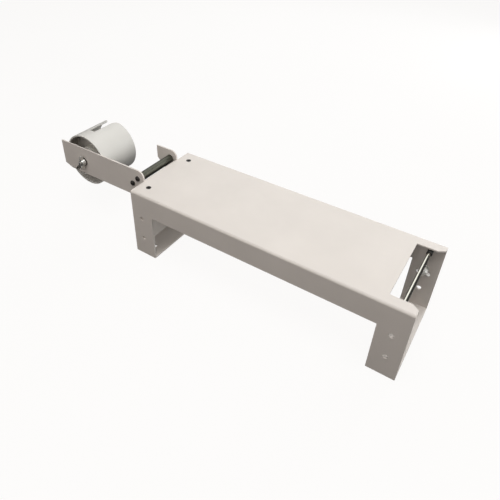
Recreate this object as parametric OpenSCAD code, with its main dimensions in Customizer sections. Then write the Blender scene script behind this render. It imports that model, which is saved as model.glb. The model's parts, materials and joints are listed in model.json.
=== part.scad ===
// Bench-top packing tape dispenser: a folded sheet bench with a finger notch,
// and a bracket at its left end that carries the tape hub and two guide rollers.
// X runs along the bench, Y across it towards the back, Z up from the counter.

/* [Bench] */
// Length of the bench top
bench_l = 360; // [320:5:420]
// Width of the bench, front skirt to back skirt
bench_w = 120; // [104:2:150]
// Height of the bench top above the counter
bench_h = 98; // [88:1:140]
// Thickness of all the folded sheet
sheet_t = 2; // [1.5:0.1:2.6]
// Inside radius of the folds
fold_in = 1; // [0.5:0.1:2]
// Depth of the long side skirts below the top
skirt_d = 31; // [24:1:34]
// Width of the left legs
left_leg_w = 33; // [30:1:45]
// Width of the right legs
right_leg_w = 32; // [28:1:45]
// Diameter of the holes in the legs
leg_hole_d = 5.5; // [4.6:0.1:7]
// Distance of the leg holes from the bench end
leg_hole_in = 15.5; // [13:0.5:18]
// Depth of the upper leg hole below the top
leg_hole_drop = 38; // [30:1:44]
// Distance between the two holes of a leg
leg_hole_pitch = 32; // [20:1:38]

/* [Finger notch] */
// Depth of the notch from the right end
notch_l = 30; // [26:1:45]
// Width of the strip on each side of the notch
strip_w = 14; // [11:0.5:17]
// Length of the bevel at the end of each strip
bevel_l = 7; // [3:0.5:8]
// Width of the bevel at the end of each strip
bevel_w = 5; // [2:0.5:8]
// Diameter of the rod across the notch
rod_d = 4.5; // [4:0.5:8]
// Distance of the rod from the right end
rod_in = 15; // [10:0.5:18]
// Wall of the sockets that hold the rod
socket_wall = 0.9; // [0.8:0.1:2]
// Length of the rod sockets
socket_l = 15; // [12:1:24]
// Thickness of the closed end of a rod socket
socket_floor = 2; // [1:0.5:4]

/* [End panel and feet] */
// Width of the end panel's top and side flanges
panel_flange = 27; // [23:1:30]
// Corner relief between neighbouring folds
panel_relief = 5; // [4:0.5:8]
// Diameter of the counter screw holes in the feet
foot_hole_d = 5.5; // [4:0.1:7]
// Distance of the foot holes from the bench ends
foot_hole_in = 16.5; // [14:0.5:20]
// Distance between the two holes of a foot
foot_hole_pitch = 84; // [60:1:88]
// Distance of the top screws from the left end
top_screw_in = 14.5; // [12:0.5:17]
// Distance between the two top screws
top_screw_pitch = 83; // [60:1:86]
// Head diameter of the countersunk top screws
top_head_d = 7; // [6:0.1:7.8]
// Thread diameter of the top screws
top_screw_d = 4; // [3:0.1:5]

/* [Tape bracket] */
// Reach of the long arm beyond the bench end
arm_reach = 157; // [154:1:190]
// Height of the bracket above the bench top
arm_rise = 12.8; // [10:0.2:18]
// Depth of the bracket below the bench top
arm_drop = 29; // [26:1:34]
// Length of the cut on the arm's lower corner
arm_cut_l = 13; // [6:1:20]
// Height of the cut on the arm's lower corner
arm_cut_h = 5; // [2:0.5:8]
// Radius of the bracket's upper corners
bracket_corner_r = 9; // [4:0.5:10]
// Length of the short ear behind the tape
ear_l = 35; // [30:1:50]
// Depth of the ear's free edge below the bench top
ear_edge_drop = 6; // [2:0.5:10]
// Length of the ear at its foot
ear_foot_l = 14; // [10:1:24]
// Depth of the bracket's web below the bench top
web_gap = 0.5; // [0.5:0.5:5]
// Distance between the two bracket bolts
bracket_bolt_pitch = 40; // [24:1:46]
// Depth of the bracket bolts below the bench top
bracket_bolt_drop = 16; // [13:0.5:19]
// Thread diameter of the bracket bolts
bracket_bolt_d = 5; // [4:0.1:6]

/* [Guide rollers] */
// Diameter of the guide rollers
roller_d = 10.4; // [6.4:0.1:11]
// Diameter of the bolts the rollers turn on
roller_bolt_d = 4; // [3:0.1:4.6]
// Distance of the upper roller from the bench end
upper_roller_in = 10.5; // [9.5:0.1:12]
// Height of the upper roller's axis above the bench top
upper_roller_rise = 0.5; // [0:0.1:2]
// Distance of the lower roller from the bench end
lower_roller_in = 20.5; // [20:0.1:23]
// Depth of the lower roller's axis below the bench top
lower_roller_drop = 9.7; // [8:0.1:11]
// Play between a roller's end and the bracket
roller_end_gap = 0.4; // [0.2:0.1:1]

/* [Hub] */
// Outside diameter of the hub, for a tape core of 76.2 mm bore
hub_d = 76; // [70:0.5:78]
// Length of the hub
hub_l = 61; // [58:0.5:78]
// Wall of the hub tube
hub_wall = 2; // [1.5:0.1:4]
// Gap between the hub's ends and the bracket
hub_gap = 2; // [1.5:0.1:4]
// Distance of the hub's axis from the bench end
hub_reach = 114; // [110:0.5:117]
// Depth of the hub's axis below the bench top
hub_drop = 8.5; // [6:0.5:11]
// Width of the lengthwise slot in the hub
hub_slot_w = 12; // [8:0.5:16]
// Length of the slot from the hub's open end
hub_slot_l = 41.5; // [30:0.5:46]
// Angle of the slot about the axis, from the bench side up
hub_slot_angle = 95; // [80:1:110]
// Radius of the corners at the slot's open end
slot_mouth_r = 10; // [4:0.5:12]
// Thickness of the web disc inside the hub
web_t = 2; // [1.5:0.1:4]
// Distance of the web disc in front of the hub's middle
web_front = 12.5; // [8:0.5:16]
// Diameter of the core in the web, which carries the bushes
core_d = 34.5; // [28:0.5:40]
// Length of the core in front of the hub's middle
core_front_l = 25; // [22:0.5:26]
// Length of the core behind the hub's middle
core_back_l = 11; // [9:0.5:13]
// Outside diameter of the bushes in the core
bush_d = 12; // [10.5:0.1:13]
// Length of one bush inside the core
bush_l = 9; // [6:0.5:10]
// Thickness of a bush flange
bush_flange_t = 1.2; // [0.8:0.1:2]

/* [Axle] */
// Diameter of the axle where the hub turns
journal_d = 8; // [7:0.1:9]
// Diameter of the thread that passes through the arm
clamp_thread_d = 5; // [4:0.1:6]
// Length of that thread beyond the arm's outer face
clamp_thread_l = 9; // [8.5:0.5:20]
// Diameter of the collar that seats on the arm
collar_d = 13; // [11:0.5:16]
// Thickness of the collar
collar_t = 2; // [1:0.2:3]
// Diameter of the axle between the collar and the hub
shoulder_d = 10; // [9.5:0.1:12]
// Diameter of the thread at the axle's far end
tail_thread_d = 6; // [5:0.1:6.6]
// Outside diameter of the washers on the axle
axle_washer_d = 16; // [14:0.5:20]
// Thickness of the washers
washer_t = 1; // [0.6:0.1:1.6]
// Length of the drag spring as fitted
spring_l = 10; // [9:0.5:11]
// Mean diameter of the drag spring
spring_d = 10.5; // [9:0.1:12]
// Wire of the drag spring
spring_wire = 1; // [0.8:0.1:1.1]
// Number of turns of the drag spring
spring_turns = 4; // [3:1:4]

/* [Wing nuts] */
// Wing span of the nut on the axle
axle_wing_span = 22; // [14:0.5:28]
// Height of that nut over its wings
axle_wing_h = 6.4; // [6:0.1:12]
// Wing span of the nut on the leg stud
leg_wing_span = 16; // [15:0.5:22]
// Height of that nut over its wings
leg_wing_h = 7.2; // [6:0.1:9]
// Diameter of the thread of the leg stud
stud_d = 4; // [3:0.1:4.2]
// Length of the leg stud inside the leg
stud_l = 14; // [13:0.5:18]
// Distance from the leg to the loose washer on the stud
stud_open = 4.5; // [4.2:0.1:6]

/* [Hidden] */
$fn = 64;
// Play on the radius: of a turning shaft, of a screw in its hole, of the axle in its slot
run_fit = 0.05;
screw_fit = 0.15;
slot_fit = 0.2;
// Play between faces: of pieces that are clamped, of pieces that rub
face_gap = 0.05;
rub_gap = 0.1;
// Length by which cuts run past a face and by which joined lengths run into each other
cut_over = 1;
join_over = 1;
// Nuts, washers and pan heads, as multiples of their thread
nut_flats = 1.67;
nut_height = 0.8;
washer_width = 2.3;
pan_width = 1.85;
pan_height = 0.65;
// Length of thread that shows beyond a nut
thread_over = 1;
// Direction of the axle's slot in the arm, down and away from the bench
slot_angle = 225;

fold_out = fold_in + sheet_t;
left_x = (arm_reach - bench_l) / 2;
right_x = left_x + bench_l;
inner_half = bench_w / 2 - sheet_t;
bracket_in_w = hub_l + 2 * hub_gap;
bracket_w = bracket_in_w + 2 * sheet_t;
arm_out_y = -bracket_w / 2;
arm_in_y = -bracket_in_w / 2;
ear_in_y = bracket_in_w / 2;
ear_out_y = bracket_w / 2;

hub_x = left_x - hub_reach;
hub_z = bench_h - hub_drop;
bush_face_y = core_back_l + bush_flange_t;
shoulder_y = -(core_front_l + bush_flange_t + rub_gap + washer_t);
spring_from_y = bush_face_y + rub_gap + washer_t + face_gap;
spring_to_y = spring_from_y + spring_l;
lock_nut_y = spring_to_y + face_gap + washer_t;
axle_end_y = lock_nut_y + nut_height * tail_thread_d + thread_over;
bush_rim = 2;
bush_flange_d = bush_d + 2 * bush_rim;

socket_d = rod_d + 2 * run_fit + 2 * socket_wall;
rod_x = right_x - rod_in;
rod_z = bench_h - fold_out - socket_d / 2 - face_gap;
rod_half = inner_half - socket_floor - rub_gap;

stud_x = right_x - leg_hole_in;
stud_z = bench_h - leg_hole_drop;
stud_collar_t = 1;
stud_collar_rim = 1.25;
stud_collar_d = leg_hole_d + 2 * stud_collar_rim;
leg_washer_y = inner_half - stud_open;
leg_nut_y = leg_washer_y - washer_t - face_gap;
clamp_washer_y = arm_out_y - face_gap;
clamp_nut_y = clamp_washer_y - washer_t - face_gap;

top_head_h = (top_head_d - top_screw_d) / 2;

rings_per_turn = 8;
wire_sides = 6;
helix_rings = rings_per_turn * spring_turns;
helix_rise = (spring_l - 2 * spring_wire) / helix_rings;

paint = [0.88, 0.86, 0.83];
hub_paint = [0.90, 0.89, 0.86];
bright_steel = [0.78, 0.77, 0.73];
dull_steel = [0.55, 0.54, 0.48];
black_steel = [0.10, 0.10, 0.10];
bronze = [0.62, 0.48, 0.28];
core_plastic = [0.86, 0.85, 0.80];

// Turns a shape that stands on Z so that it points to the front
module to_front(x, y, z) translate([x, y, z]) rotate([90, 0, 0]) children();

// Turns a shape that stands on Z so that it points to the back
module to_back(x, y, z) translate([x, y, z]) rotate([-90, 0, 0]) children();

// Folded channel section: the web lies on Y, the flanges run along X
module fold_section(width, first, second) {
    reach = max(first, second);
    difference() {
        union() {
            translate([fold_out, 0]) square([reach - fold_out, width]);
            translate([0, fold_out]) square([2 * fold_out, width - 2 * fold_out]);
            for (y = [fold_out, width - fold_out]) translate([fold_out, y]) circle(r = fold_out);
        }
        translate([fold_out, sheet_t]) square([reach, width - 2 * sheet_t]);
        translate([sheet_t, fold_out]) square([2 * fold_out, width - 2 * fold_out]);
        for (y = [fold_out, width - fold_out]) translate([fold_out, y]) circle(r = fold_in);
        translate([first, -cut_over]) square([reach, width / 2]);
        translate([second, width / 2]) square([reach, width / 2 + cut_over]);
    }
}

module washer(hole_d, outer_d) difference() {
    cylinder(d = outer_d, h = washer_t);
    translate([0, 0, -cut_over]) cylinder(d = hole_d, h = washer_t + 2 * cut_over);
}

module hex_nut(thread_d) difference() {
    height = nut_height * thread_d;
    cylinder(d = nut_flats * thread_d / cos(30), h = height, $fn = 6);
    translate([0, 0, -cut_over]) cylinder(d = thread_d + 2 * run_fit, h = height + 2 * cut_over);
}

// Pan head bolt: the head's seat is at Z 0, the shank runs down
module pan_bolt(shank_d, length) difference() {
    head_d = pan_width * shank_d;
    head_h = pan_height * shank_d;
    crown_d = 0.62 * head_d;
    drive_d = 0.7 * shank_d;
    drive_floor = 0.45 * head_h;
    union() {
        translate([0, 0, -length]) cylinder(d = shank_d, h = length + head_h / 2);
        cylinder(d = head_d, h = head_h / 2);
        translate([0, 0, head_h / 2]) cylinder(d1 = head_d, d2 = crown_d, h = head_h / 2);
    }
    translate([0, 0, drive_floor]) cylinder(d = drive_d, h = head_h, $fn = 6);
}

// Wing nut that stands on Z 0, wings along X
module wing_nut(thread_d, span, wing_h) {
    boss_w = 2 * thread_d;
    boss_h = 1.1 * thread_d;
    wing_t = 0.42 * thread_d;
    tip_r = min(0.13 * span, 0.45 * wing_h);
    tip = [span / 2 - tip_r, wing_h - tip_r];
    under_tip = tip + tip_r * [cos(-40), sin(-40)];
    over_tip = tip + tip_r * [cos(130), sin(130)];
    wing_foot = 0.2 * boss_h;
    wing_root = 0.45 * boss_w;
    difference() {
        union() {
            cylinder(d = boss_w, h = boss_h);
            for (side = [0, 180]) rotate([0, 0, side]) rotate([90, 0, 0])
                translate([0, 0, -wing_t / 2]) linear_extrude(wing_t) union() {
                    translate(tip) circle(r = tip_r);
                    polygon([[0, wing_foot], [boss_w / 2, wing_foot], under_tip, over_tip,
                        [wing_root, boss_h], [0, boss_h]]);
                }
        }
        translate([0, 0, -cut_over]) cylinder(d = thread_d + 2 * run_fit, h = wing_h + 2 * cut_over);
    }
}

module leg_holes() for (x = [left_x + leg_hole_in, right_x - leg_hole_in])
    for (drop = [leg_hole_drop, leg_hole_drop + leg_hole_pitch])
        to_front(x, bench_w / 2 + cut_over, bench_h - drop)
            cylinder(d = leg_hole_d, h = bench_w + 2 * cut_over);

module notch_outline() {
    half = bench_w / 2 - strip_w;
    translate([right_x - notch_l, -half]) square([notch_l + cut_over, 2 * half]);
    for (side = [1, -1]) polygon([[right_x - bevel_l, side * half], [right_x, side * (half + bevel_w)],
        [right_x + cut_over, side * (half + bevel_w)], [right_x + cut_over, 0], [right_x - bevel_l, 0]]);
}

module top_screw_places() for (side = [1, -1])
    translate([left_x + top_screw_in, side * top_screw_pitch / 2, bench_h]) children();

// Top, skirts and four legs, folded from one sheet
module bench_frame() color(paint) difference() {
    translate([left_x, -bench_w / 2, bench_h]) rotate([0, 90, 0])
        linear_extrude(bench_l) fold_section(bench_w, bench_h, bench_h);
    translate([left_x + left_leg_w, -bench_w / 2 - cut_over, -cut_over])
        cube([bench_l - left_leg_w - right_leg_w, bench_w + 2 * cut_over, bench_h - skirt_d + cut_over]);
    translate([0, 0, bench_h - fold_out]) linear_extrude(fold_out + cut_over) notch_outline();
    leg_holes();
    top_screw_places() {
        translate([0, 0, -fold_out]) cylinder(d = top_screw_d + 2 * screw_fit, h = 2 * fold_out);
        translate([0, 0, -top_head_h])
            cylinder(d1 = top_screw_d + 2 * run_fit, d2 = top_head_d + 2 * run_fit, h = top_head_h);
    }
}

module bracket_bolt_places() for (side = [1, -1])
    translate([left_x, side * bracket_bolt_pitch / 2, bench_h - bracket_bolt_drop])
        rotate([0, -90, 0]) children();

module foot_holes(x) for (side = [1, -1]) translate([x, side * foot_hole_pitch / 2, -cut_over])
    cylinder(d = foot_hole_d, h = sheet_t + 2 * cut_over);

// Closes the left end, with a flange under the top, one in each leg and a foot
module left_end_panel() color(paint) difference() {
    panel_h = bench_h - sheet_t;
    fold_w = 2 * (inner_half - panel_relief);
    union() {
        to_front(left_x, fold_w / 2, 0)
            linear_extrude(fold_w) fold_section(panel_h, left_leg_w, panel_flange);
        translate([left_x, -inner_half, panel_relief]) linear_extrude(panel_h - 2 * panel_relief)
            fold_section(2 * inner_half, panel_flange, panel_flange);
        translate([left_x + fold_out, -inner_half, 0]) cube([left_leg_w - fold_out, 2 * inner_half, sheet_t]);
    }
    foot_holes(left_x + foot_hole_in);
    top_screw_places() translate([0, 0, -2 * fold_out])
        cylinder(d = top_screw_d + 2 * screw_fit, h = 2 * fold_out);
    bracket_bolt_places() translate([0, 0, -fold_out])
        cylinder(d = bracket_bolt_d + 2 * screw_fit, h = 2 * fold_out);
}

// Ties the right legs together at the counter
module right_foot_plate() color(paint) difference() {
    translate([right_x - right_leg_w, -inner_half, 0]) cube([right_leg_w, 2 * inner_half, sheet_t]);
    foot_holes(right_x - foot_hole_in);
}

module roller_places() {
    translate([-upper_roller_in, upper_roller_rise]) children();
    translate([-lower_roller_in, -lower_roller_drop]) children();
}

// Rounds the corner of a bracket plate that stands at the bench end
module corner_cut() translate([-bracket_corner_r, arm_rise - bracket_corner_r]) difference() {
    square(bracket_corner_r + cut_over);
    circle(r = bracket_corner_r);
}

// Edge of a bracket plate along the bench end, shared by the arm and the ear
function end_edge() = [[-fold_out, -arm_drop], [-fold_out, -web_gap], [0, -web_gap], [0, arm_rise]];

module arm_outline() difference() {
    polygon(concat([[-arm_reach, arm_rise], [-arm_reach, arm_cut_h - arm_drop],
        [arm_cut_l - arm_reach, -arm_drop]], end_edge()));
    corner_cut();
    roller_places() circle(d = roller_bolt_d + 2 * screw_fit);
    translate([-hub_reach, -hub_drop]) {
        slot_r = clamp_thread_d / 2 + slot_fit;
        circle(r = slot_r);
        rotate(slot_angle) translate([0, -slot_r]) square([2 * arm_drop, 2 * slot_r]);
    }
}

module ear_outline() difference() {
    polygon(concat([[-ear_l, arm_rise], [-ear_l, -ear_edge_drop], [-ear_foot_l, -arm_drop]], end_edge()));
    corner_cut();
    roller_places() circle(d = roller_bolt_d + 2 * screw_fit);
}

module bracket_plate(back_y) translate([left_x, back_y, bench_h]) rotate([90, 0, 0])
    linear_extrude(sheet_t) children();

// U bracket on the end panel: the long arm in front, the short ear behind
module tape_bracket() color(paint) difference() {
    union() {
        bracket_plate(arm_in_y) arm_outline();
        bracket_plate(ear_out_y) ear_outline();
        translate([left_x, -bracket_w / 2, bench_h - arm_drop]) linear_extrude(arm_drop - web_gap)
            mirror([1, 0]) fold_section(bracket_w, 2 * fold_out, 2 * fold_out);
    }
    bracket_bolt_places() translate([0, 0, -cut_over])
        cylinder(d = bracket_bolt_d + 2 * screw_fit, h = sheet_t + 2 * cut_over);
}

// Countersunk black screws that hold the end panel under the top
module top_screws() color(black_steel) top_screw_places() difference() {
    length = 2 * sheet_t + nut_height * top_screw_d + thread_over;
    drive_d = 0.62 * top_screw_d;
    drive_depth = 0.8 * top_head_h;
    union() {
        translate([0, 0, -top_head_h]) cylinder(d1 = top_screw_d, d2 = top_head_d, h = top_head_h);
        translate([0, 0, -length]) cylinder(d = top_screw_d, h = length - top_head_h / 2);
    }
    translate([0, 0, -drive_depth]) cylinder(d = drive_d, h = top_head_h, $fn = 6);
}

module top_screw_nuts() color(bright_steel) top_screw_places()
    translate([0, 0, -2 * sheet_t - nut_height * top_screw_d]) hex_nut(top_screw_d);

module bracket_bolts() color(bright_steel) bracket_bolt_places() translate([0, 0, sheet_t])
    pan_bolt(bracket_bolt_d, 2 * sheet_t + washer_t + nut_height * bracket_bolt_d + thread_over);

module bracket_washers() color(bright_steel) bracket_bolt_places() translate([0, 0, -sheet_t - washer_t])
    washer(bracket_bolt_d + 2 * screw_fit, washer_width * bracket_bolt_d);

module bracket_nuts() color(bright_steel) bracket_bolt_places()
    translate([0, 0, -sheet_t - washer_t - nut_height * bracket_bolt_d]) hex_nut(bracket_bolt_d);

module roller_axes() {
    translate([left_x - upper_roller_in, 0, bench_h + upper_roller_rise]) children();
    translate([left_x - lower_roller_in, 0, bench_h - lower_roller_drop]) children();
}

module roller_bolts() color(black_steel) roller_axes() to_front(0, arm_out_y, 0)
    pan_bolt(roller_bolt_d, bracket_w + nut_height * roller_bolt_d + thread_over);

module roller_nuts() color(bright_steel) roller_axes() to_back(0, ear_out_y, 0)
    hex_nut(roller_bolt_d);

module guide_roller(x, z) color(dull_steel) to_front(x, ear_in_y - roller_end_gap, z) difference() {
    length = bracket_in_w - 2 * roller_end_gap;
    cylinder(d = roller_d, h = length);
    translate([0, 0, -cut_over]) cylinder(d = roller_bolt_d + 2 * run_fit, h = length + 2 * cut_over);
}

module guide_roller_upper() guide_roller(left_x - upper_roller_in, bench_h + upper_roller_rise);

module guide_roller_lower() guide_roller(left_x - lower_roller_in, bench_h - lower_roller_drop);

// One turned length of the axle between two places on Y
module axle_length(from_y, to_y, d) to_back(hub_x, from_y, hub_z) cylinder(d = d, h = to_y - from_y);

// Stepped axle: clamp thread, collar, shoulder, journal and tail thread
module hub_axle() color(bright_steel) union() {
    axle_length(arm_out_y - clamp_thread_l, arm_in_y + collar_t, clamp_thread_d);
    axle_length(arm_in_y + face_gap, arm_in_y + face_gap + collar_t, collar_d);
    axle_length(arm_in_y + collar_t, shoulder_y, shoulder_d);
    axle_length(shoulder_y - join_over, bush_face_y, journal_d);
    axle_length(bush_face_y - join_over, axle_end_y, tail_thread_d);
}

// Outline of the hub's slot: X runs to its open end, where the corners are rounded
module slot_outline() {
    corner_y = hub_slot_w / 2 + slot_mouth_r - face_gap;
    translate([0, -hub_slot_w / 2]) square([hub_slot_l + cut_over, hub_slot_w]);
    difference() {
        translate([hub_slot_l - slot_mouth_r, -corner_y]) square([slot_mouth_r + cut_over, 2 * corner_y]);
        for (side = [1, -1]) translate([hub_slot_l - slot_mouth_r + rub_gap, side * corner_y])
            circle(r = slot_mouth_r);
    }
}

// Tube that the tape core slides on, open at both ends, slotted at the back
module hub_tube() color(hub_paint) difference() {
    to_back(hub_x, -hub_l / 2, hub_z) difference() {
        cylinder(d = hub_d, h = hub_l);
        translate([0, 0, -cut_over]) cylinder(d = hub_d - 2 * hub_wall, h = hub_l + 2 * cut_over);
    }
    translate([hub_x, hub_l / 2 - hub_slot_l, hub_z]) rotate([0, -hub_slot_angle, 0])
        translate([hub_d / 4, 0, 0]) rotate([90, 0, 90]) linear_extrude(hub_d / 2) slot_outline();
}

// Disc that holds the core in the tube
module hub_web() color(hub_paint) to_back(hub_x, -web_front - web_t / 2, hub_z) difference() {
    cylinder(d = hub_d - 2 * hub_wall, h = web_t);
    translate([0, 0, -cut_over]) cylinder(d = core_d, h = web_t + 2 * cut_over);
}

// Round core that carries the bushes
module hub_core() color(core_plastic) to_back(hub_x, -core_front_l, hub_z) difference() {
    length = core_front_l + core_back_l;
    cylinder(d = core_d, h = length);
    translate([0, 0, -cut_over]) cylinder(d = bush_d, h = length + 2 * cut_over);
}

module flanged_bush() difference() {
    union() {
        translate([0, 0, -bush_l]) cylinder(d = bush_d, h = bush_l);
        cylinder(d = bush_flange_d, h = bush_flange_t);
    }
    translate([0, 0, -bush_l - cut_over])
        cylinder(d = journal_d + 2 * run_fit, h = bush_l + bush_flange_t + 2 * cut_over);
}

module hub_bushes() color(bronze) {
    to_front(hub_x, -core_front_l, hub_z) flanged_bush();
    to_back(hub_x, core_back_l, hub_z) flanged_bush();
}

module thrust_washer() color(bright_steel) to_back(hub_x, shoulder_y, hub_z)
    washer(journal_d + 2 * screw_fit, axle_washer_d);

module spring_washers() color(bright_steel)
    for (y = [bush_face_y + rub_gap, spring_to_y + face_gap])
        to_back(hub_x, y, hub_z) washer(tail_thread_d + 2 * screw_fit, axle_washer_d);

// Drag spring: one wire, wound as a helix, its two ends turned straight on to the washers
function ring_angle(i) = 360 / rings_per_turn * max(0, min(helix_rings, i - 1));
function ring_height(i) = i == 0 ? 0
    : i == helix_rings + 2 ? spring_l
    : spring_wire + helix_rise * (i - 1);
function ring_centre(i) = let (r = spring_d / 2)
    [r * cos(ring_angle(i)), r * sin(ring_angle(i)), ring_height(i)];
function unit(v) = v / norm(v);
function ring_along(i) = i == 0 || i == helix_rings + 2 ? [0, 0, 1]
    : unit(unit(ring_centre(i + 1) - ring_centre(i)) + unit(ring_centre(i) - ring_centre(i - 1)));
function ring_point(i, side) = let (
        out = [cos(ring_angle(i)), sin(ring_angle(i)), 0],
        flat_out = unit(out - (out * ring_along(i)) * ring_along(i)),
        up = cross(ring_along(i), flat_out),
        turn = 360 / wire_sides * side)
    ring_centre(i) + spring_wire / 2 * (cos(turn) * flat_out + sin(turn) * up);
function wire_quad(i, side) = let (
        a = i * wire_sides + side,
        b = i * wire_sides + (side + 1) % wire_sides)
    [[a, b, a + wire_sides], [b, b + wire_sides, a + wire_sides]];

module drag_spring() color(bright_steel) to_back(hub_x, spring_from_y, hub_z) {
    last = helix_rings + 2;
    end_ring = last * wire_sides;
    points = [for (i = [0:last]) for (side = [0:wire_sides - 1]) ring_point(i, side)];
    sides = [for (i = [0:last - 1]) for (side = [0:wire_sides - 1]) each wire_quad(i, side)];
    start_cap = [for (side = [1:wire_sides - 2]) [0, side + 1, side]];
    end_cap = [for (side = [1:wire_sides - 2]) [end_ring, end_ring + side, end_ring + side + 1]];
    polyhedron(points, concat(sides, start_cap, end_cap));
}

spring_self_gap = min([for (i = [0:helix_rings + 2]) for (j = [i + rings_per_turn - 2:1:helix_rings + 2])
    norm(ring_centre(i) - ring_centre(j))]) - spring_wire;
echo(spring_self_gap = spring_self_gap);

module axle_lock_nut() color(bright_steel) to_back(hub_x, lock_nut_y, hub_z)
    hex_nut(tail_thread_d);

module clamp_washer() color(black_steel) to_front(hub_x, clamp_washer_y, hub_z)
    washer(clamp_thread_d + 2 * screw_fit, washer_width * clamp_thread_d);

module axle_wing_nut() color(bright_steel) to_front(hub_x, clamp_nut_y, hub_z)
    rotate([0, 0, 90]) wing_nut(clamp_thread_d, axle_wing_span, axle_wing_h);

// Bright rod across the notch
module notch_rod() color(bright_steel) to_front(rod_x, rod_half, rod_z) cylinder(d = rod_d, h = 2 * rod_half);

// Blind sockets on the skirts that hold the rod's ends
module rod_sockets() color(black_steel) for (side = [1, -1])
    translate([rod_x, side * inner_half, rod_z]) rotate([side * 90, 0, 0]) difference() {
        cylinder(d = socket_d, h = socket_l);
        translate([0, 0, socket_floor]) cylinder(d = rod_d + 2 * run_fit, h = socket_l);
    }

// Stud pressed into the upper hole of the back right leg, flush outside
module leg_stud() color(bright_steel) to_front(stud_x, bench_w / 2, stud_z) {
    cylinder(d = leg_hole_d - 2 * run_fit, h = sheet_t + stud_collar_t / 2);
    translate([0, 0, sheet_t]) cylinder(d = stud_collar_d, h = stud_collar_t);
    translate([0, 0, sheet_t]) cylinder(d = stud_d, h = stud_l);
}

module leg_washer() color(bright_steel) to_front(stud_x, leg_washer_y, stud_z)
    washer(stud_d + 2 * screw_fit, washer_width * stud_d);

module leg_wing_nut() color(bright_steel) to_front(stud_x, leg_nut_y, stud_z)
    wing_nut(stud_d, leg_wing_span, leg_wing_h);

bench_frame();
left_end_panel();
right_foot_plate();
tape_bracket();
top_screws();
top_screw_nuts();
bracket_bolts();
bracket_washers();
bracket_nuts();
roller_bolts();
roller_nuts();
guide_roller_upper();
guide_roller_lower();
hub_axle();
hub_tube();
hub_web();
hub_core();
hub_bushes();
thrust_washer();
spring_washers();
drag_spring();
axle_lock_nut();
clamp_washer();
axle_wing_nut();
notch_rod();
rod_sockets();
leg_stud();
leg_washer();
leg_wing_nut();
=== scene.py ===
# %% [markdown]
# # A packing tape dispenser for the counter
# The dispenser is a bench folded from sheet steel. A bracket at its left end carries a hub for the
# tape roll and two guide rollers, and a notch at its right end lets fingers lift the tape from a
# bright rod. The CAD part gives every piece its place and its motion. This lesson gives the pieces
# their soft edges, threads and finishes.

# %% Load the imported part
import json
import math
import bmesh
import bpy
from mathutils import Matrix, Vector

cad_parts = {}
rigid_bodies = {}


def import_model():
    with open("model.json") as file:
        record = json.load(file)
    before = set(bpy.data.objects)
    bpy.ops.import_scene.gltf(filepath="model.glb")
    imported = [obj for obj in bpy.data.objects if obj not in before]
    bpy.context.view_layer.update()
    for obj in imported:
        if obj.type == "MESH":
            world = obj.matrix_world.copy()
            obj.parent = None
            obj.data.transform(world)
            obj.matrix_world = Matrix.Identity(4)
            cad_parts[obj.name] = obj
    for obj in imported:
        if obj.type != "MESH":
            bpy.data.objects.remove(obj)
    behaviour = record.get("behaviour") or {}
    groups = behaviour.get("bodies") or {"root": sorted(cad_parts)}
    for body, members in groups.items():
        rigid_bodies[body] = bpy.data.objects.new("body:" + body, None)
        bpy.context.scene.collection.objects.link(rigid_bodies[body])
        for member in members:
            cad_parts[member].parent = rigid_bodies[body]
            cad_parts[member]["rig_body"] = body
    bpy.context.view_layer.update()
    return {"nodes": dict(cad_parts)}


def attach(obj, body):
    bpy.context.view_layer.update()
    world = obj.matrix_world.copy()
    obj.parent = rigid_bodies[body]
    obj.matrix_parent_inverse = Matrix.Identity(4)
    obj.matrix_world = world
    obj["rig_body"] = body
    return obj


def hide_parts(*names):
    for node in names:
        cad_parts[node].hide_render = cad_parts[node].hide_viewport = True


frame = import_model()
MM = 0.001

# %% [markdown]
# ## Camera
# The photograph was taken from close by, above the front right corner, so the far end looks
# smaller. The corners and holes of the bench were matched to the picture to find where the camera
# stood, how it was turned and how long its lens was. The object sits above and right of the middle
# of that lens, which the two shifts give.

# %% Camera at the photograph's view
CAMERA_PLACE = (0.2810, -0.4103, 0.4431)
CAMERA_TURN = (55.338, -0.451, 34.471)

camera = bpy.data.objects.new("photo_camera", bpy.data.cameras.new("photo_camera"))
bpy.context.scene.collection.objects.link(camera)
camera.location = CAMERA_PLACE
camera.rotation_euler = [math.radians(turn) for turn in CAMERA_TURN]
camera.data.sensor_width = 36
camera.data.lens = 34.71
camera.data.shift_x = 0.0507
camera.data.shift_y = -0.1121
camera.data.clip_start = 0.01
bpy.context.scene.camera = camera
print("camera", CAMERA_PLACE, "lens", round(camera.data.lens, 2))

# %% [markdown]
# ## Floor and light
# The picture has a white ground, a bright top and grey front faces that darken to the right. A
# wide lamp overhead lights the top, and two weak ones at the front, a little warmer, light the
# front faces. A wide lamp at the back, like a window, gives the sheen on the top and the bright
# stripe on the rod. Two low lamps at the right reach under the bench and into the hub. The floor
# and a dome over it glow evenly, as a light table does, so that the shadow stays faint. They send
# no light to the part, so that the faces near the floor stay grey.

# %% Floor paper
def new_finish(name):
    """An empty node material, with its nodes, links and shader at hand."""
    finish = bpy.data.materials.new(name)
    finish.use_nodes = True
    tree = finish.node_tree
    return finish, tree.nodes, tree.links, tree.nodes["Principled BSDF"]


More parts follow.
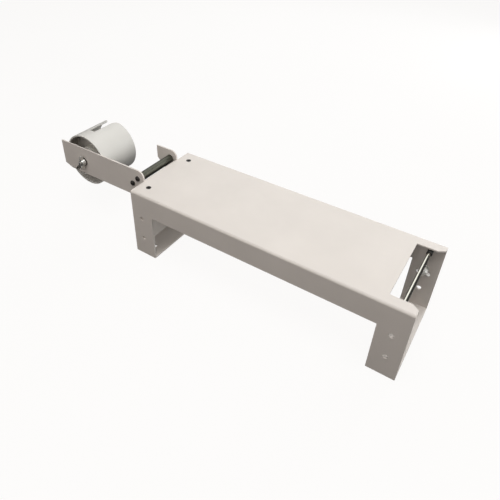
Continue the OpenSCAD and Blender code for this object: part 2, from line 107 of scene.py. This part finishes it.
floor_paper, nodes, links, shader = new_finish("floor_paper")
fibre = nodes.new("ShaderNodeTexNoise")
fibre.inputs["Scale"].default_value = 3
links.new(nodes.new("ShaderNodeTexCoord").outputs["Object"], fibre.inputs["Vector"])
tone = nodes.new("ShaderNodeMapRange")
tone.inputs["To Min"].default_value = 0.030
tone.inputs["To Max"].default_value = 0.038
links.new(fibre.outputs["Fac"], tone.inputs["Value"])
links.new(tone.outputs["Result"], shader.inputs["Base Color"])
shader.inputs["Roughness"].default_value = 1.0
shader.inputs["Specular IOR Level"].default_value = 0.0
shader.inputs["Emission Color"].default_value = (1, 0.99, 0.98, 1)
shader.inputs["Emission Strength"].default_value = 0.94
print("finish", floor_paper.name)

# %% Floor and dome
FLOOR_REACH = 6
BELOW_FEET = Matrix.Translation((0, 0, -0.5 * MM))


def stage_piece(name, bm):
    """Makes the bmesh a part of the stage, which the camera sees and which lights nothing."""
    mesh = bpy.data.meshes.new(name)
    bm.to_mesh(mesh)
    bm.free()
    mesh.materials.append(floor_paper)
    piece = bpy.data.objects.new(name, mesh)
    bpy.context.scene.collection.objects.link(piece)
    piece.visible_diffuse = False
    piece.visible_glossy = False
    return piece


bm = bmesh.new()
bmesh.ops.create_grid(bm, x_segments=1, y_segments=1, size=FLOOR_REACH, matrix=BELOW_FEET)
stage_piece("floor", bm)
bm = bmesh.new()
bmesh.ops.create_uvsphere(bm, u_segments=48, v_segments=24, radius=FLOOR_REACH, matrix=BELOW_FEET)
bmesh.ops.reverse_faces(bm, faces=bm.faces)
stage_piece("dome", bm).visible_shadow = False
print("floor and dome reach", FLOOR_REACH, "m")

# %% Light
DAYLIGHT = (0.97, 0.99, 1.0)
WARM = (1.0, 0.94, 0.895)
BENCH_TOP = (0.0, 0.0, 0.08)


def soft_lamp(name, place, target, size, power, tint=DAYLIGHT):
    """A square lamp that looks from a place to a target."""
    lamp = bpy.data.objects.new(name, bpy.data.lights.new(name, "AREA"))
    bpy.context.scene.collection.objects.link(lamp)
    lamp.data.size = size
    lamp.data.energy = power
    lamp.data.color = tint
    lamp.location = place
    lamp.rotation_euler = (Vector(target) - Vector(place)).to_track_quat("-Z", "Y").to_euler()
    print("lamp", name, power, "W")


soft_lamp("overhead", (0.15, -0.27, 1.45), BENCH_TOP, size=0.9, power=16)
soft_lamp("back_window", (-0.4, 1.15, 0.85), BENCH_TOP, size=1.2, power=9)
soft_lamp("back_right", (0.5, 1.3, 0.35), (-0.05, 0.0, 0.03), size=0.35, power=12)
soft_lamp("right_side", (1.35, 0.1, 0.36), (0.0, 0.0, 0.05), size=0.5, power=6)
soft_lamp("front_left", (-0.75, -1.2, 0.45), (-0.1, 0.0, 0.05), size=0.8, power=3.1, tint=WARM)
soft_lamp("front_right", (0.20, -1.05, 0.95), BENCH_TOP, size=0.7, power=4.5, tint=WARM)

world = bpy.data.worlds.new("studio")
world.use_nodes = True
room = world.node_tree.nodes["Background"]
room.inputs["Color"].default_value = (0.95, 0.97, 1.0, 1)
room.inputs["Strength"].default_value = 0.1
bpy.context.scene.world = world
bpy.context.scene.view_settings.view_transform = "Standard"

# %% [markdown]
# ## Finishes
# Every finish reads Object coordinates, which are metres here, so a noise of scale 600 has grains
# of about 2 mm. Powder coat is a thick paint baked on: nearly even in colour, with a fine
# orange-peel surface that breaks up the gloss. A slow noise shifts the tone, a fine one lifts the
# surface, and a middle one varies the roughness. Each sheet piece marks its own edge faces, and
# these get a paler tone, broken up by a noise: partly paint that hands and tape rub thin, partly a
# painted highlight along the edges.

# %% Helpers that make a pattern
NOISE_LOW, NOISE_HIGH = 0.3, 0.7


def noise(nodes, links, scale, detail=2.0, stretch=None):
    """A noise on Object coordinates; stretch gives its grain a direction."""
    place = nodes.new("ShaderNodeTexCoord").outputs["Object"]
    if stretch:
        mapping = nodes.new("ShaderNodeMapping")
        mapping.inputs["Scale"].default_value = stretch
        links.new(place, mapping.inputs["Vector"])
        place = mapping.outputs["Vector"]
    grain = nodes.new("ShaderNodeTexNoise")
    grain.inputs["Scale"].default_value = scale
    grain.inputs["Detail"].default_value = detail
    links.new(place, grain.inputs["Vector"])
    return grain.outputs["Fac"]


def blend_colours(nodes, links, share, first, second):
    """A colour between two, by a noise that varies over the surface."""
    ramp = nodes.new("ShaderNodeValToRGB")
    start, end = ramp.color_ramp.elements
    start.position, start.color = NOISE_LOW, (*first, 1)
    end.position, end.color = NOISE_HIGH, (*second, 1)
    links.new(share, ramp.inputs["Fac"])
    return ramp.outputs["Color"]


# %% Helpers that use a pattern
def spread(nodes, links, value, low, high):
    """Brings a noise, which lies mostly between NOISE_LOW and NOISE_HIGH, into a range."""
    reach = nodes.new("ShaderNodeMapRange")
    reach.inputs["From Min"].default_value = NOISE_LOW
    reach.inputs["From Max"].default_value = NOISE_HIGH
    reach.inputs["To Min"].default_value = low
    reach.inputs["To Max"].default_value = high
    links.new(value, reach.inputs["Value"])
    return reach.outputs["Result"]


def raise_surface(nodes, links, height, shader, strength, depth):
    """Lets a pattern lift the surface by a depth in metres."""
    bump = nodes.new("ShaderNodeBump")
    bump.inputs["Strength"].default_value = strength
    bump.inputs["Distance"].default_value = depth
    links.new(height, bump.inputs["Height"])
    links.new(bump.outputs["Normal"], shader.inputs["Normal"])


# %% Powder coat
def powder_coat(name, dark, light, rubbed_highlit_tone, peel):
    """Baked paint in two near tones, paler on its edges as rubbed paint and a painted highlight;
    peel is the skin's scale.
    """
    finish, nodes, links, shader = new_finish(name)
    cloud = noise(nodes, links, scale=16, detail=3)
    # The marked edge faces get a paler tone: partly rubbed paint, partly a painted highlight.
    edges = nodes.new("ShaderNodeAttribute")
    edges.attribute_name = "edge_wear_and_highlight"
    rubbed_highlit_share = nodes.new("ShaderNodeMath")
    rubbed_highlit_share.operation = "MULTIPLY"
    links.new(edges.outputs["Fac"], rubbed_highlit_share.inputs[0])
    rubbed_highlit_breakup = noise(nodes, links, scale=240, detail=3)
    links.new(spread(nodes, links, rubbed_highlit_breakup, 0.0, 1.0), rubbed_highlit_share.inputs[1])
    paint = nodes.new("ShaderNodeMix")
    paint.data_type = "RGBA"
    links.new(rubbed_highlit_share.outputs["Value"], paint.inputs["Factor"])
    links.new(blend_colours(nodes, links, cloud, dark, light), paint.inputs["A"])
    paint.inputs["B"].default_value = (*rubbed_highlit_tone, 1)
    links.new(paint.outputs["Result"], shader.inputs["Base Color"])
    patches = noise(nodes, links, scale=120)
    links.new(spread(nodes, links, patches, 0.44, 0.58), shader.inputs["Roughness"])
    skin = noise(nodes, links, scale=peel)
    raise_surface(nodes, links, skin, shader, strength=0.12, depth=0.2 * MM)
    shader.inputs["Specular IOR Level"].default_value = 0.4
    print("finish", name)
    return finish


# The paler edge tone given here is partly rubbed paint and partly a painted highlight on the edges.
grey_coat = powder_coat("grey_coat", dark=(0.565, 0.518, 0.474), light=(0.60, 0.55, 0.504),
                        rubbed_highlit_tone=(0.70, 0.655, 0.61), peel=620)
hub_coat = powder_coat("hub_coat", dark=(0.512, 0.493, 0.458), light=(0.546, 0.525, 0.488),
                       rubbed_highlit_tone=(0.68, 0.65, 0.61), peel=900)

# %% [markdown]
# Zinc plate is a thin bright skin on the nuts, washers and studs. It is a metal, so its colour
# tints the reflections, and its slight yellow and blue patches come from the plating bath.

# %% Zinc plate
zinc_plate, nodes, links, shader = new_finish("zinc_plate")
patches = noise(nodes, links, scale=260, detail=3)
plating = blend_colours(nodes, links, patches, (0.68, 0.68, 0.66), (0.84, 0.82, 0.76))
links.new(plating, shader.inputs["Base Color"])
dulled = noise(nodes, links, scale=900)
links.new(spread(nodes, links, dulled, 0.28, 0.46), shader.inputs["Roughness"])
pits = noise(nodes, links, scale=2400, detail=1)
raise_surface(nodes, links, pits, shader, strength=0.15, depth=0.05 * MM)
shader.inputs["Metallic"].default_value = 1.0
print("finish", zinc_plate.name)

# %% [markdown]
# The rollers and the axle are turned on a lathe, and the tool leaves fine rings. A noise that is
# stretched thin along the axis, which is Y on all of them, draws those rings on the colour and the
# surface.

# %% Turned and polished steel
def turned_steel(name, dark, light, rough, depth):
    """Steel with tool rings about Y; rough is the range of its roughness."""
    finish, nodes, links, shader = new_finish(name)
    rings = noise(nodes, links, scale=40, detail=3, stretch=(0.4, 60, 0.4))
    links.new(blend_colours(nodes, links, rings, dark, light), shader.inputs["Base Color"])
    handled = noise(nodes, links, scale=300)
    links.new(spread(nodes, links, handled, *rough), shader.inputs["Roughness"])
    raise_surface(nodes, links, rings, shader, strength=0.25, depth=depth)
    shader.inputs["Metallic"].default_value = 1.0
    print("finish", name)
    return finish


roller_steel = turned_steel("roller_steel", dark=(0.09, 0.089, 0.071), light=(0.14, 0.138, 0.11),
                            rough=(0.36, 0.50), depth=0.04 * MM)
axle_steel = turned_steel("axle_steel", dark=(0.52, 0.51, 0.49), light=(0.66, 0.65, 0.61),
                          rough=(0.24, 0.38), depth=0.04 * MM)
polished_rod = turned_steel("polished_rod", dark=(0.44, 0.425, 0.365), light=(0.50, 0.48, 0.42),
                            rough=(0.05, 0.10), depth=0.01 * MM)

# %% [markdown]
# The screws that show on the top and on the arm are blackened steel: a dark, slightly brown skin
# with a dull shine. The bushes are sintered bronze, whose tiny pores show as dark specks. They sit
# in a core of turned white nylon, and the rod sits in sockets of black nylon. The spring is bare
# drawn wire. Each gets two tones, a roughness that varies and, apart from the smooth wire, a fine
# relief.

# %% Black steel and bronze
black_steel, nodes, links, shader = new_finish("black_steel")
stain = noise(nodes, links, scale=500, detail=3)
skin = blend_colours(nodes, links, stain, (0.010, 0.009, 0.008), (0.032, 0.028, 0.025))
links.new(skin, shader.inputs["Base Color"])
dulled = noise(nodes, links, scale=1300)
links.new(spread(nodes, links, dulled, 0.32, 0.52), shader.inputs["Roughness"])
pits = noise(nodes, links, scale=3000, detail=1)
raise_surface(nodes, links, pits, shader, strength=0.15, depth=0.04 * MM)
shader.inputs["Specular IOR Level"].default_value = 0.22

bronze, nodes, links, shader = new_finish("sintered_bronze")
pores = noise(nodes, links, scale=3200, detail=3)
grains = blend_colours(nodes, links, pores, (0.20, 0.12, 0.05), (0.62, 0.42, 0.20))
links.new(grains, shader.inputs["Base Color"])
links.new(spread(nodes, links, pores, 0.55, 0.32), shader.inputs["Roughness"])
raise_surface(nodes, links, pores, shader, strength=0.3, depth=0.06 * MM)
shader.inputs["Metallic"].default_value = 1.0
print("finishes", black_steel.name, bronze.name)

# %% Nylon and spring wire
core_nylon, nodes, links, shader = new_finish("core_nylon")
rings = noise(nodes, links, scale=40, stretch=(0.4, 40, 0.4))
turned = blend_colours(nodes, links, rings, (0.66, 0.64, 0.58), (0.72, 0.70, 0.64))
links.new(turned, shader.inputs["Base Color"])
handled = noise(nodes, links, scale=400)
links.new(spread(nodes, links, handled, 0.42, 0.55), shader.inputs["Roughness"])
raise_surface(nodes, links, rings, shader, strength=0.2, depth=0.04 * MM)

black_nylon, nodes, links, shader = new_finish("black_nylon")
cloud = noise(nodes, links, scale=140)
moulded = blend_colours(nodes, links, cloud, (0.012, 0.012, 0.011), (0.022, 0.021, 0.019))
links.new(moulded, shader.inputs["Base Color"])
links.new(spread(nodes, links, cloud, 0.42, 0.6), shader.inputs["Roughness"])
pits = noise(nodes, links, scale=1800)
raise_surface(nodes, links, pits, shader, strength=0.2, depth=0.05 * MM)

spring_wire, nodes, links, shader = new_finish("spring_wire")
drawn = noise(nodes, links, scale=700, detail=3)
wire = blend_colours(nodes, links, drawn, (0.36, 0.36, 0.35), (0.56, 0.56, 0.54))
links.new(wire, shader.inputs["Base Color"])
links.new(spread(nodes, links, drawn, 0.25, 0.42), shader.inputs["Roughness"])
shader.inputs["Metallic"].default_value = 1.0
print("finishes", core_nylon.name, black_nylon.name, spring_wire.name)

# %% [markdown]
# ## Folded sheet with eased edges
# Sheet steel is deburred and then coated, so no edge of it is sharp: each one catches a thin line
# of light. The CAD solids have the right shape and only lack that line. Each sheet piece is
# therefore a copy of its CAD mesh, with its loose triangles merged, its flat faces joined and its
# edges bevelled.

# %% Helper that eases edges
def ease_edges(bm, width, sharper_than=40):
    """Bevels every edge whose faces meet at a clear angle, and marks the new faces for wear and a
    painted highlight.
    """
    wear_and_highlight = bm.faces.layers.float.new("edge_wear_and_highlight")
    limit = math.radians(sharper_than)
    sharp = [e for e in bm.edges if len(e.link_faces) == 2 and e.calc_face_angle(0) > limit]
    eased = bmesh.ops.bevel(bm, geom=sharp, offset=width, offset_type="OFFSET", affect="EDGES",
                            segments=2, profile=0.5, clamp_overlap=True, material=-1)
    # These edge faces are marked for a paler tone that is partly wear and partly a painted
    # highlight.
    for face in eased["faces"]:
        face[wear_and_highlight] = 1.0


# %% Helpers that turn a bmesh into a piece
MERGE = 1e-6
FLAT = math.radians(0.5)
SMOOTH = math.radians(38)


def make_piece(bm, name, finish, slot, *cad_nodes):
    """Makes the bmesh a smooth object that rides with its CAD nodes and stands for them."""
    mesh = bpy.data.meshes.new(name)
    bm.to_mesh(mesh)
    bm.free()
    mesh.materials.append(finish)
    mesh.polygons.foreach_set("use_smooth", [True] * len(mesh.polygons))
    mesh.set_sharp_from_angle(angle=SMOOTH)
    piece = bpy.data.objects.new(name, mesh)
    bpy.context.scene.collection.objects.link(piece)
    piece.modifiers.new("even_shading", "WEIGHTED_NORMAL").keep_sharp = True
    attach(piece, frame["nodes"][cad_nodes[0]]["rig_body"])
    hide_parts(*cad_nodes)


def eased_copy(node, width, finish, slot):
    """A copy of a CAD node with its edges eased by a width in mm."""
    bm = bmesh.new()
    bm.from_mesh(frame["nodes"][node].data)
    bmesh.ops.remove_doubles(bm, verts=bm.verts, dist=MERGE)
    bmesh.ops.dissolve_limit(bm, angle_limit=FLAT, verts=bm.verts, edges=bm.edges)
    ease_edges(bm, width * MM)
    make_piece(bm, node + "_eased", finish, slot, node)


# %% Bench, end panel, foot and bracket
for sheet_node in ("bench_frame", "left_end_panel", "right_foot_plate", "tape_bracket"):
    eased_copy(sheet_node, width=0.35, finish=grey_coat, slot="grey_paint")

# %% [markdown]
# ## Tape hub
# The hub is a short tube with one slot, and a disc inside it holds the nylon core that carries the
# bushes. The tube's slot makes it easiest to copy from the CAD mesh. The disc and the core are
# round, so a profile spun about the axle makes them, as a lathe would.

# %% Helpers that spin a profile
AXLE = Vector((-215.5, 0, 89.5)) * MM
TO_BACK = Vector((0, 1, 0))
TO_FRONT = Vector((0, -1, 0))
ROUND_STEPS = 48


def lathe(bm, profile, centre, along, closed=True):
    """Spins (radius, distance) points in mm about an axis; a closed profile makes a ring."""
    out = along.orthogonal().normalized()
    verts = [bm.verts.new(centre + out * radius * MM + along * distance * MM)
             for radius, distance in profile]
    edges = [bm.edges.new(pair) for pair in zip(verts, verts[1:])]
    if closed:
        edges.append(bm.edges.new((verts[-1], verts[0])))
    bmesh.ops.spin(bm, geom=verts + edges, cent=centre, axis=along, angle=math.tau,
                   steps=ROUND_STEPS, use_merge=True)
    bmesh.ops.remove_doubles(bm, verts=bm.verts, dist=MERGE)
    bmesh.ops.recalc_face_normals(bm, faces=bm.faces)


def ring(bm, centre, along, bore, outer, length, edge):
    """A round ring with eased rims; sizes are diameters and lengths in mm."""
    rim = outer / 2 - edge
    lathe(bm, [(bore / 2, 0), (rim, 0), (outer / 2, edge), (outer / 2, length - edge),
               (rim, length), (bore / 2, length)], centre, along)


# %% Hub tube, web and core
CORE = 34.5

eased_copy("hub_tube", width=0.45, finish=hub_coat, slot="hub_paint")
bm = bmesh.new()
ring(bm, AXLE + TO_FRONT * 11.5 * MM, TO_FRONT, bore=CORE, outer=72, length=2, edge=0.1)
make_piece(bm, "hub_web_disc", hub_coat, "hub_paint", "hub_web")
bm = bmesh.new()
ring(bm, AXLE + TO_FRONT * 25 * MM, TO_BACK, bore=12, outer=CORE, length=36, edge=0.6)
make_piece(bm, "hub_core_turned", core_nylon, "white_plastic", "hub_core")

# %% [markdown]
# ## Bushes, washers and rollers
# Two flanged bushes let the hub turn on its axle, washers part what turns from what stands still,
# and the two guide rollers are lengths of tube on long bolts. All of them are round with a bore.
# The bushes need a profile of their own for the flange, and the ring helper makes the rest.

# %% Bushes
bm = bmesh.new()
for along, reach in ((TO_FRONT, 25), (TO_BACK, 11)):
    lathe(bm, [(4.05, -9), (6, -9), (6, 0), (7.7, 0), (8, 0.3), (8, 0.9), (7.7, 1.2), (4.4, 1.2),
               (4.05, 0.85)], AXLE + along * reach * MM, along)
make_piece(bm, "hub_bush_pair", bronze, "bronze", "hub_bushes")

# %% Washers
WASHER, RIM = 1, 0.2

for name, node, places in (
        ("thrust_ring", "thrust_washer", [(-27.3, 8.3)]),
        ("spring_rings", "spring_washers", [(12.3, 6.3), (23.4, 6.3)])):
    bm = bmesh.new()
    for distance, bore in places:
        ring(bm, AXLE + TO_BACK * distance * MM, TO_BACK, bore, outer=16, length=WASHER, edge=RIM)
    make_piece(bm, name, zinc_plate, "zinc_steel", node)

bm = bmesh.new()
ring(bm, AXLE + TO_FRONT * 34.55 * MM, TO_FRONT, bore=5.3, outer=11.5, length=WASHER, edge=RIM)
make_piece(bm, "clamp_ring_washer", black_steel, "black_steel", "clamp_washer")

STUD = Vector((243, 60, 60)) * MM
bm = bmesh.new()
ring(bm, STUD + TO_FRONT * 6.5 * MM, TO_FRONT, bore=4.3, outer=9.2, length=WASHER, edge=RIM)
make_piece(bm, "leg_ring_washer", zinc_plate, "zinc_steel", "leg_washer")

# %% Rollers
for name, node, x, z in (("upper_roller_tube", "guide_roller_upper", -112.0, 98.5),
                         ("lower_roller_tube", "guide_roller_lower", -122.0, 88.3)):
    bm = bmesh.new()
    ring(bm, Vector((x, -32.1, z)) * MM, TO_BACK, bore=4.1, outer=10.4, length=64.2, edge=0.5)
    make_piece(bm, name, roller_steel, "roller_steel", node)

# %% [markdown]
# ## Threads
# The axle ends and the leg stud are threaded. A thread is one small V that turns about the axis
# and rises by its pitch each turn, and that is what spin does when it is given a rise. Each turn
# meets the next, so merging the doubles closes the skin, two cuts trim it to length, and filling
# the cuts closes the ends.

# %% Helper that cuts a thread
THREAD_DEPTH = 0.61
SPARE_TURNS = 3
TURN_STEPS = 24
AT_TIP = 0.02
CUT = 1e-7


def thread(name, base, along, diameter, pitch, length, finish, node):
    """A threaded end of a length in mm, with its tip drawn in to the thread's root."""
    bm = bmesh.new()
    out = along.orthogonal().normalized()
    crest = diameter / 2
    root = crest - THREAD_DEPTH * pitch
    start = base - along * SPARE_TURNS / 2 * pitch * MM
    tooth = [(root, 0), (root, 0.1), (crest, 0.44), (crest, 0.56), (root, 0.9), (root, 1)]
    verts = [bm.verts.new(start + out * radius * MM + along * rise * pitch * MM)
             for radius, rise in tooth]
    edges = [bm.edges.new(pair) for pair in zip(verts, verts[1:])]
    turns = math.ceil(length / pitch) + SPARE_TURNS
    bmesh.ops.spin(bm, geom=verts + edges, cent=start, axis=along, angle=math.tau * turns,
                   steps=turns * TURN_STEPS, dvec=along * pitch * MM / TURN_STEPS)
    bmesh.ops.remove_doubles(bm, verts=bm.verts, dist=MERGE)
    tip = base + along * length * MM
    for place, side in ((base, -1), (tip, 1)):
        bmesh.ops.bisect_plane(bm, geom=bm.verts[:] + bm.edges[:] + bm.faces[:], dist=CUT,
                               plane_co=place, plane_no=along * side, clear_outer=True)
    bmesh.ops.holes_fill(bm, edges=[e for e in bm.edges if e.is_boundary], sides=0)
    for vert in bm.verts:
        reach = vert.co - base
        away = reach - along * reach.dot(along)
        if reach.dot(along) > (length - AT_TIP) * MM and away.length > root * MM:
            vert.co -= away * (1 - root * MM / away.length)
    bmesh.ops.recalc_face_normals(bm, faces=bm.faces)
    make_piece(bm, name, finish, "zinc_steel", node)


# %% Axle
bm = bmesh.new()
lathe(bm, [(0, -32.45), (6.3, -32.45), (6.5, -32.25), (6.5, -30.65), (6.3, -30.45), (5, -30.45),
           (5, -27.3), (4, -27.3), (4, 11.9), (3.7, 12.2), (0, 12.2)], AXLE, TO_BACK, closed=False)
make_piece(bm, "axle_turned", axle_steel, "zinc_steel", "hub_axle")
thread("axle_clamp_thread", AXLE + TO_FRONT * 32 * MM, TO_FRONT, diameter=5, pitch=0.8, length=11.5,
       finish=axle_steel, node="hub_axle")
thread("axle_tail_thread", AXLE + TO_BACK * 12 * MM, TO_BACK, diameter=6, pitch=1, length=18.2,
       finish=axle_steel, node="hub_axle")

# %% Leg stud
bm = bmesh.new()
lathe(bm, [(0, 0), (2.7, 0), (2.7, 2), (4, 2), (4, 2.8), (3.8, 3), (0, 3)], STUD, TO_FRONT,
      closed=False)
make_piece(bm, "leg_stud_collar", zinc_plate, "zinc_steel", "leg_stud")
thread("leg_stud_thread", STUD + TO_FRONT * 2.5 * MM, TO_FRONT, diameter=4, pitch=0.7, length=13.5,
       finish=zinc_plate, node="leg_stud")

# %% [markdown]
# ## Drag spring
# A light spring presses the hub against a washer so that the roll does not run on. Its end turns
# lie flat, and the turns between them are open. Spin makes each part from the circle that ended
# the one before, with a small rise at the ends and a larger rise between.

# %% Wound spring
WIRE = 1.0
WIRE_SIDES = 10
COIL = 10.5
SPRING_START = 13.35
FLAT_TURN, OPEN_TURNS = (1, 1.06), (3, 6.88)

bm = bmesh.new()
begin = AXLE + TO_BACK * (SPRING_START + WIRE / 2) * MM + Vector((COIL / 2 * MM, 0, 0))
bmesh.ops.create_circle(bm, cap_ends=False, radius=WIRE / 2 * MM, segments=WIRE_SIDES,
                        matrix=Matrix.Translation(begin))
first_end = bm.edges[:]
last_end = bm.verts[:] + bm.edges[:]
for turns, rise in (FLAT_TURN, OPEN_TURNS, FLAT_TURN):
    count = TURN_STEPS * turns
    wound = bmesh.ops.spin(bm, geom=last_end, cent=AXLE, axis=TO_BACK, angle=math.tau * turns,
                           steps=count, dvec=TO_BACK * rise * MM / count)
    last_end = wound["geom_last"]
bmesh.ops.contextual_create(bm, geom=first_end)
bmesh.ops.contextual_create(bm, geom=[e for e in last_end if isinstance(e, bmesh.types.BMEdge)])
bmesh.ops.recalc_face_normals(bm, faces=bm.faces)
make_piece(bm, "drag_spring_coil", spring_wire, "spring_wire", "drag_spring")

# %% [markdown]
# ## Nuts
# A real nut starts as a turned blank with coned faces, and six flats are cut into it. The same
# order works here: spin the blank, then cut it six times with a plane and fill each cut. The
# curved edge where a flat meets the cone comes out by itself.

# %% Helpers that make a hexagon nut
NUT_FLATS, NUT_HEIGHT, NUT_FACE = 1.67, 0.8, 0.97
BORE_GAP = 0.05
COUNTERSINK = 0.3


def join(bm, part):
    """Adds a finished bmesh to another one."""
    loose = bpy.data.meshes.new("loose_part")
    part.to_mesh(loose)
    part.free()
    bm.from_mesh(loose)
    bpy.data.meshes.remove(loose)


def hex_nut(bm, base, along, corner, size):
    """A nut for a thread size in mm, which stands on base with a corner in a given direction."""
    blank = bmesh.new()
    flats, height, bore = NUT_FLATS * size, NUT_HEIGHT * size, size / 2 + BORE_GAP
    corner_r = flats / 2 / math.cos(math.radians(30))
    face_r = NUT_FACE * flats / 2
    cone = (corner_r - face_r) * math.tan(math.radians(30))
    mouth = bore + COUNTERSINK
    lathe(blank, [(mouth, 0), (face_r, 0), (corner_r, cone), (corner_r, height - cone),
                  (face_r, height), (mouth, height), (bore, height - COUNTERSINK),
                  (bore, COUNTERSINK)], base, along)
    for turn in range(6):
        flat = Matrix.Rotation(math.radians(30 + 60 * turn), 3, along) @ corner
        bmesh.ops.bisect_plane(blank, geom=blank.verts[:] + blank.edges[:] + blank.faces[:],
                               dist=CUT, plane_co=base + flat * flats / 2 * MM, plane_no=flat,
                               clear_outer=True)
        bmesh.ops.holes_fill(blank, edges=[e for e in blank.edges if e.is_boundary], sides=0)
    bmesh.ops.recalc_face_normals(blank, faces=blank.faces)
    join(bm, blank)


# %% Nuts of the top, the bracket, the rollers and the axle
UP, DOWN, RIGHT = Vector((0, 0, 1)), Vector((0, 0, -1)), Vector((1, 0, 0))

for name, node, size, along, corner, places in (
        ("top_nut_pair", "top_screw_nuts", 4, DOWN, RIGHT, [(-87, 41.5, 94), (-87, -41.5, 94)]),
        ("bracket_nut_pair", "bracket_nuts", 5, RIGHT, UP, [(-98.5, 20, 82), (-98.5, -20, 82)]),
        ("roller_nut_pair", "roller_nuts", 4, TO_BACK, RIGHT,
         [(-112, 34.5, 98.5), (-122, 34.5, 88.3)]),
        ("axle_nut_plain", "axle_lock_nut", 6, TO_BACK, RIGHT, [(-215.5, 24.4, 89.5)])):
    bm = bmesh.new()
    for place in places:
        hex_nut(bm, Vector(place) * MM, along, corner, size)
    make_piece(bm, name, zinc_plate, "zinc_steel", node)

bm = bmesh.new()
for y in (20, -20):
    ring(bm, Vector((-99.5, y, 82)) * MM, RIGHT, bore=5.3, outer=11.5, length=WASHER, edge=RIM)
make_piece(bm, "bracket_ring_pair", zinc_plate, "zinc_steel", "bracket_washers")

# %% [markdown]
# ## Wing nuts
# A wing nut is cast: a round boss with two ears that lean outwards and thicken into it. The boss
# is spun. Each ear starts as a flat outline, is pulled to its thickness, and then gets its edges
# bevelled. The axle's nut is plated like the plain nuts. The one on the leg is tumbled and left
# satin: less a mirror, more a light grey.

# %% Cast zinc
cast_zinc, nodes, links, shader = new_finish("cast_zinc")
grain = noise(nodes, links, scale=420, detail=3)
satin = blend_colours(nodes, links, grain, (0.74, 0.73, 0.70), (0.86, 0.85, 0.81))
links.new(satin, shader.inputs["Base Color"])
tumbled = noise(nodes, links, scale=1100)
links.new(spread(nodes, links, tumbled, 0.36, 0.52), shader.inputs["Roughness"])
pits = noise(nodes, links, scale=2200)
raise_surface(nodes, links, pits, shader, strength=0.2, depth=0.05 * MM)
shader.inputs["Metallic"].default_value = 0.35
print("finish", cast_zinc.name)

# %% Helper that makes a wing nut
def wing_nut(name, base, along, across, size, span, tall, finish, node):
    """A wing nut for a thread size; span is over its ears and tall is their height, in mm."""
    bm = bmesh.new()
    boss, height, bore = size, 1.1 * size, size / 2 + BORE_GAP
    mouth = bore + COUNTERSINK
    lathe(bm, [(mouth, 0), (boss - 0.3, 0), (boss, 0.3), (0.88 * boss, height - 0.5),
               (0.8 * boss, height), (mouth, height), (bore, height - COUNTERSINK),
               (bore, COUNTERSINK)], base, along)
    thick = across.cross(along)
    width, tip = 0.42 * size, min(0.13 * span, 0.45 * tall)
    half = thick * width / 2 * MM
    outline = [(mouth, 0.2 * height), (boss, 0.2 * height), (span / 2 - 0.2 * tip, tall - 2 * tip),
               (span / 2, tall - tip), (span / 2 - 0.6 * tip, tall), (span / 2 - 1.7 * tip, tall),
               (0.9 * boss, height), (mouth, height)]
    for side in (1, -1):
        ear = bmesh.new()
        face = ear.faces.new([ear.verts.new(base + across * side * x * MM + along * z * MM - half)
                              for x, z in outline])
        pulled = bmesh.ops.extrude_face_region(ear, geom=[face])
        moved = [v for v in pulled["geom"] if isinstance(v, bmesh.types.BMVert)]
        bmesh.ops.translate(ear, verts=moved, vec=thick * width * MM)
        bmesh.ops.recalc_face_normals(ear, faces=ear.faces)
        ease_edges(ear, 0.55 * MM, sharper_than=25)
        join(bm, ear)
    make_piece(bm, name, finish, "zinc_steel", node)


# %% Wing nuts of the axle and the leg
wing_nut("axle_wing_cast", AXLE + TO_FRONT * 35.6 * MM, TO_FRONT, UP, size=5, span=22, tall=6.4,
         finish=zinc_plate, node="axle_wing_nut")
wing_nut("leg_wing_cast", STUD + TO_FRONT * 7.55 * MM, TO_FRONT, RIGHT, size=4, span=16, tall=7.2,
         finish=cast_zinc, node="leg_wing_nut")

# %% [markdown]
# ## Rod and screws
# The rod across the notch is ground and polished, and it turns in two blind nylon sockets. All
# three are spun. The screws keep their CAD shape, with the hexagon sockets in their heads, and get
# eased edges.

# %% Rod and sockets
ROD = Vector((243.5, 0, 91.75)) * MM
bm = bmesh.new()
lathe(bm, [(0, -55.9), (1.8, -55.9), (2.25, -55.4), (2.25, 55.4), (1.8, 55.9), (0, 55.9)],
      ROD, TO_BACK, closed=False)
make_piece(bm, "notch_rod_polished", polished_rod, "bright_rod", "notch_rod")

bm = bmesh.new()
for along in (TO_FRONT, TO_BACK):
    lathe(bm, [(0, 58), (3, 58), (3.2, 57.8), (3.2, 43.3), (2.9, 43), (2.6, 43), (2.3, 43.3),
               (2.3, 56), (0, 56)], ROD, along, closed=False)
make_piece(bm, "rod_socket_pair", black_nylon, "black_plastic", "rod_sockets")

# %% Screws
eased_copy("top_screws", width=0.12, finish=black_steel, slot="black_steel")
eased_copy("roller_bolts", width=0.2, finish=black_steel, slot="black_steel")
eased_copy("bracket_bolts", width=0.2, finish=zinc_plate, slot="zinc_steel")
